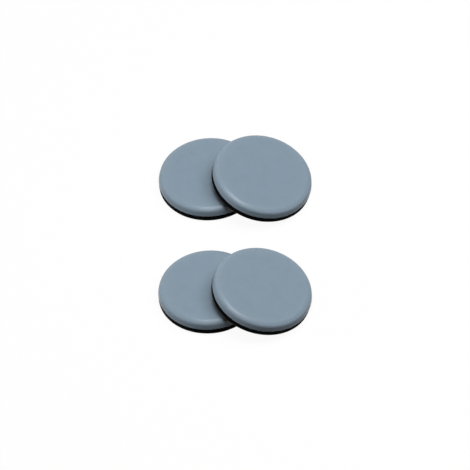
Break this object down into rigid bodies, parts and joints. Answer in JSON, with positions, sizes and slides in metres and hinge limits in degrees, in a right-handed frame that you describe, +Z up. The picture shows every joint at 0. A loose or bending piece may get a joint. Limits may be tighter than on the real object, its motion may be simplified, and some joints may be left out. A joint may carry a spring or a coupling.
{
  "type": "furniture slider set",
  "caption": "Round self-adhesive furniture sliders: shallow low-friction caps with rounded rims over black rubber cores with peel-off tape, lying in leaning pairs.",
  "frame": {"origin": "on the table, below the middle of the set's box", "axes": "+Z up, square to the table; +Y along the row of pairs, from the front pair to the rear one; +X from a flat slider towards the one that leans on it"},
  "size_m": [0.0606, 0.1042, 0.0156],
  "materials": {
    "glide_skin": "smooth satin grey-blue fluoropolymer skin",
    "bond_film": "cloudy cured adhesive film",
    "black_rubber": "matt moulded black rubber",
    "foam_tape": "thin black acrylic foam tape with tacky faces",
    "liner_paper": "smooth silicone-coated brown kraft paper"
  },
  "bodies": {
    "slider_rear_left": {"glide_cap_rear_left": "glide_skin", "bond_film_rear_left": "bond_film", "rubber_core_rear_left": "black_rubber", "adhesive_tape_rear_left": "foam_tape"},
    "liner_rear_left": {"release_liner_rear_left": "liner_paper"},
    "slider_rear_right": {"glide_cap_rear_right": "glide_skin", "bond_film_rear_right": "bond_film", "rubber_core_rear_right": "black_rubber", "adhesive_tape_rear_right": "foam_tape"},
    "liner_rear_right": {"release_liner_rear_right": "liner_paper"},
    "slider_front_left": {"glide_cap_front_left": "glide_skin", "bond_film_front_left": "bond_film", "rubber_core_front_left": "black_rubber", "adhesive_tape_front_left": "foam_tape"},
    "liner_front_left": {"release_liner_front_left": "liner_paper"},
    "slider_front_right": {"glide_cap_front_right": "glide_skin", "bond_film_front_right": "bond_film", "rubber_core_front_right": "black_rubber", "adhesive_tape_front_right": "foam_tape"},
    "liner_front_right": {"release_liner_front_right": "liner_paper"}
  },
  "joints": [
    {"name": "slider_rear_right_lift", "type": "slide", "parent": "slider_rear_left", "child": "slider_rear_right", "axis": [0, 0, 1], "range_m": [0, 0.04]},
    {"name": "slider_front_left_lift", "type": "slide", "parent": "slider_rear_left", "child": "slider_front_left", "axis": [0, 0, 1], "range_m": [0, 0.04]},
    {"name": "slider_front_right_lift", "type": "slide", "parent": "slider_front_left", "child": "slider_front_right", "axis": [0, 0, 1], "range_m": [0, 0.04]},
    {"name": "liner_rear_left_peel", "type": "slide", "parent": "slider_rear_left", "child": "liner_rear_left", "axis": [-1, 0, 0], "range_m": [0, 0.045]},
    {"name": "liner_rear_right_peel", "type": "slide", "parent": "slider_rear_right", "child": "liner_rear_right", "axis": [0.2334, 0.9724, 0], "range_m": [0, 0.045]},
    {"name": "liner_front_left_peel", "type": "slide", "parent": "slider_front_left", "child": "liner_front_left", "axis": [-1, 0, 0], "range_m": [0, 0.045]},
    {"name": "liner_front_right_peel", "type": "slide", "parent": "slider_front_right", "child": "liner_front_right", "axis": [-0.2334, -0.9724, 0], "range_m": [0, 0.045]}
  ]
}
